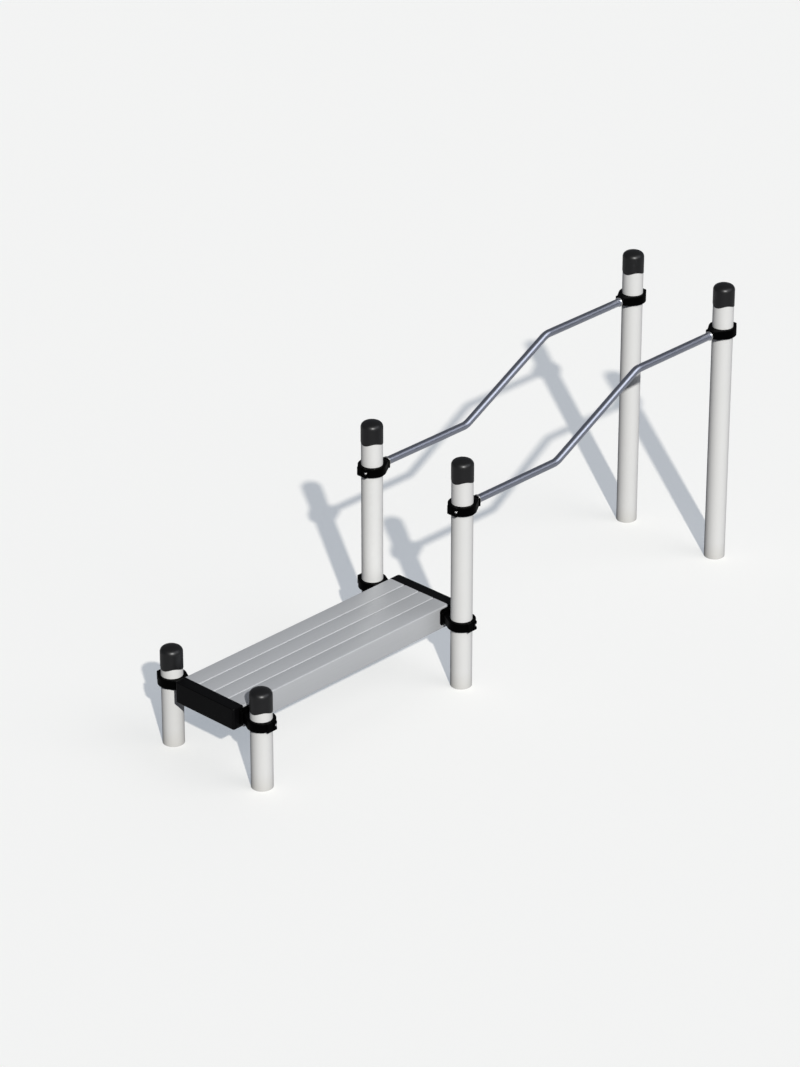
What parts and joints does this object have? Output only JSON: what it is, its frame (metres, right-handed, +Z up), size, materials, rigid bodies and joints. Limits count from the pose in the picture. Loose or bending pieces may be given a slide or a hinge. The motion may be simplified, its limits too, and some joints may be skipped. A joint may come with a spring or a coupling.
{
  "type": "parallel bars with bench",
  "caption": "Outdoor parallel bars: round capped posts carry two bent grab bars that rise in a slope, and a planked bench is clamped between the posts at one end.",
  "frame": {"origin": "middle of the whole footprint, on the ground", "axes": "+X from the bench end to the tall posts, +Y across to the left-hand row of posts, +Z up"},
  "size_m": [3.254, 0.716, 1.4525],
  "materials": {
    "post_grey": "satin powder coat",
    "cap_black": "moulded, fine satin",
    "clamp_black": "satin powder coat on a casting",
    "housing_black": "moulded, satin",
    "plank_grey": "satin anodised extrusion",
    "stainless": "fine ground tube",
    "galvanised": "galvanised",
    "screw_steel": "plain stainless"
  },
  "bodies": {
    "root": {"bar_bolts": "screw_steel", "bar_clamp_high_left": "clamp_black", "bar_clamp_high_right": "clamp_black", "bar_clamp_mid_left": "clamp_black", "bar_clamp_mid_right": "clamp_black", "bar_collars": "stainless", "bar_left": "stainless", "bar_plugs": "screw_steel", "bar_right": "stainless", "bench_bolts": "screw_steel", "bench_clamp_low_left": "clamp_black", "bench_clamp_low_right": "clamp_black", "bench_clamp_mid_left": "clamp_black", "bench_clamp_mid_right": "clamp_black", "cap_high_left": "cap_black", "cap_high_right": "cap_black", "cap_low_left": "cap_black", "cap_low_right": "cap_black", "cap_mid_left": "cap_black", "cap_mid_right": "cap_black", "clamp_screws": "screw_steel", "cross_frame": "galvanised", "end_frame_low": "galvanised", "end_frame_mid": "galvanised", "end_housing_low": "housing_black", "end_housing_mid": "housing_black", "housing_screws": "screw_steel", "plank_inner_left": "plank_grey", "plank_inner_right": "plank_grey", "plank_outer_left": "plank_grey", "plank_outer_right": "plank_grey", "plank_screws": "screw_steel", "post_high_left": "post_grey", "post_high_right": "post_grey", "post_low_left": "post_grey", "post_low_right": "post_grey", "post_mid_left": "post_grey", "post_mid_right": "post_grey"}
  },
  "joints": []
}
